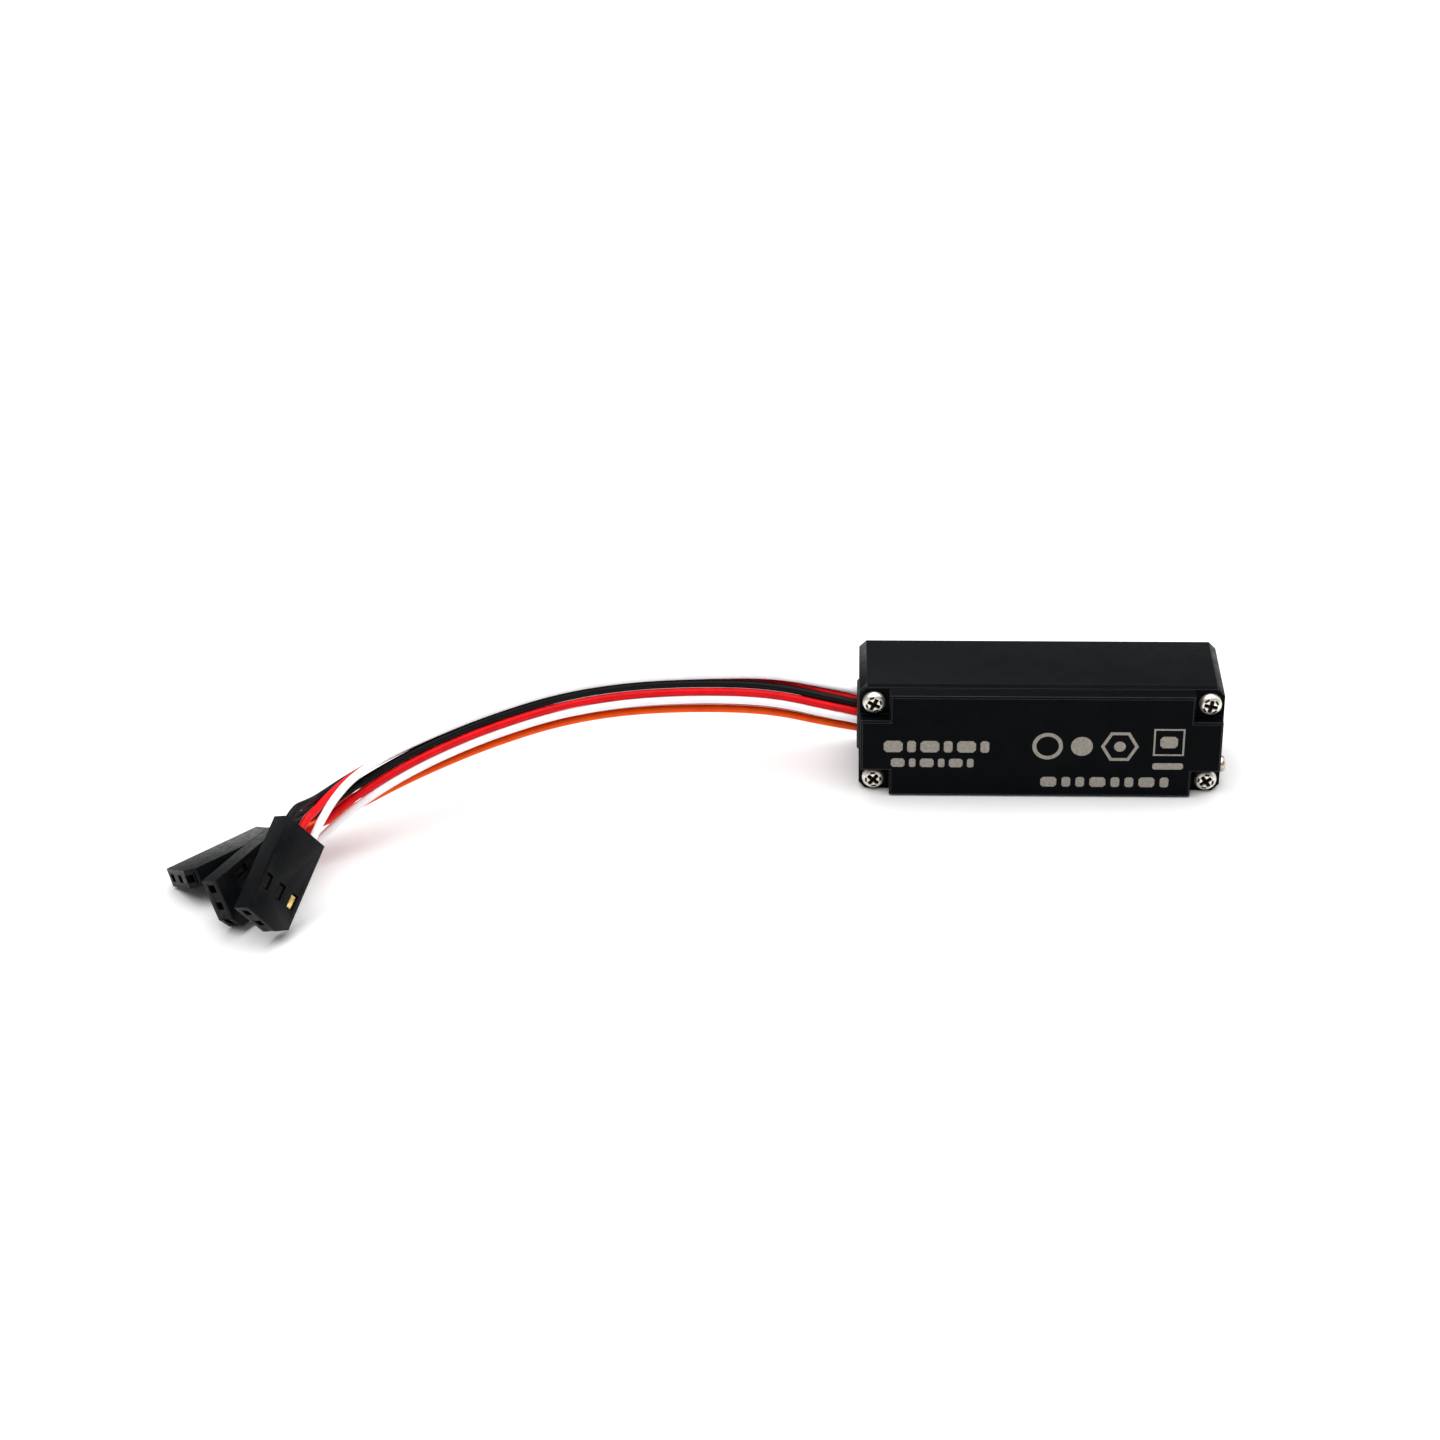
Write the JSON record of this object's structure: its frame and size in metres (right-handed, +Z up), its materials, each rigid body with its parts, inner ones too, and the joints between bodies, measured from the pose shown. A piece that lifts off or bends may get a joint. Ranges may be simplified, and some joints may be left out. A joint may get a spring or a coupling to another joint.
{
  "type": "inline electronic speed controller",
  "caption": "Small sealed in-line controller: bevelled black plastic box with a screwed cover, a round set button and servo-type leads ending in three-way plugs.",
  "frame": {"origin": "middle of the footprint of the box, on the surface that it stands on, leads and plugs left out", "axes": "+X along the box towards the button end, -Y out of the screwed cover, +Z up; the leads leave the -X end"},
  "size_m": [0.143, 0.0566, 0.016],
  "materials": {
    "shell_plastic": "fine-grained moulded black",
    "cover_plastic": "moulded black, faint sheen",
    "screw_steel": "nickel plated",
    "grommet_rubber": "matt",
    "board_laminate": "green solder mask",
    "chip_plastic": "moulded epoxy",
    "lead_metal": "tinned",
    "can_aluminium": "satin",
    "crystal_can": "satin",
    "ceramic_tan": "fired ceramic",
    "resistor_black": "fired film",
    "switch_plastic": "moulded",
    "button_metal": "worn nickel",
    "solder": "bright solder",
    "foam_grey": "closed-cell foam",
    "plug_plastic": "moulded black",
    "contact_gold": "gold flash",
    "wire_black": "smooth insulation",
    "wire_red": "smooth insulation",
    "wire_white": "smooth insulation",
    "wire_orange": "smooth insulation"
  },
  "bodies": {
    "housing": {"housing_shell": "shell_plastic", "cover": "cover_plastic", "cover_screws": "screw_steel", "board_screws": "screw_steel", "cable_grommet": "grommet_rubber", "main_board": "board_laminate", "microcontroller": "chip_plastic", "microcontroller_pins": "lead_metal", "voltage_regulator": "chip_plastic", "regulator_tabs": "lead_metal", "output_transistors": "chip_plastic", "crystal": "crystal_can", "smoothing_capacitor": "can_aluminium", "ceramic_capacitors": "ceramic_tan", "chip_resistors": "resistor_black", "tactile_switch": "switch_plastic", "switch_dome": "lead_metal", "foam_pad": "foam_grey", "solder_joints": "solder", "middle_plug_housing": "plug_plastic", "middle_plug_contacts": "contact_gold", "middle_lead_black_wire": "wire_black", "middle_lead_red_wire": "wire_red", "middle_lead_white_wire": "wire_white", "front_plug_housing": "plug_plastic", "front_plug_contacts": "contact_gold", "front_lead_white_wire": "wire_white", "front_lead_red_wire": "wire_red", "front_lead_black_wire": "wire_black", "left_plug_housing": "plug_plastic", "left_plug_contacts": "contact_gold", "left_lead_black_wire": "wire_black", "left_lead_red_wire": "wire_red", "left_lead_orange_wire": "wire_orange"},
    "button": {"set_button": "button_metal"}
  },
  "joints": [
    {"name": "set_button_press", "type": "slide", "parent": "housing", "child": "button", "axis": [-1, 0, 0], "range_m": [0, 0.00025], "stiffness_N_per_m": 1500}
  ]
}
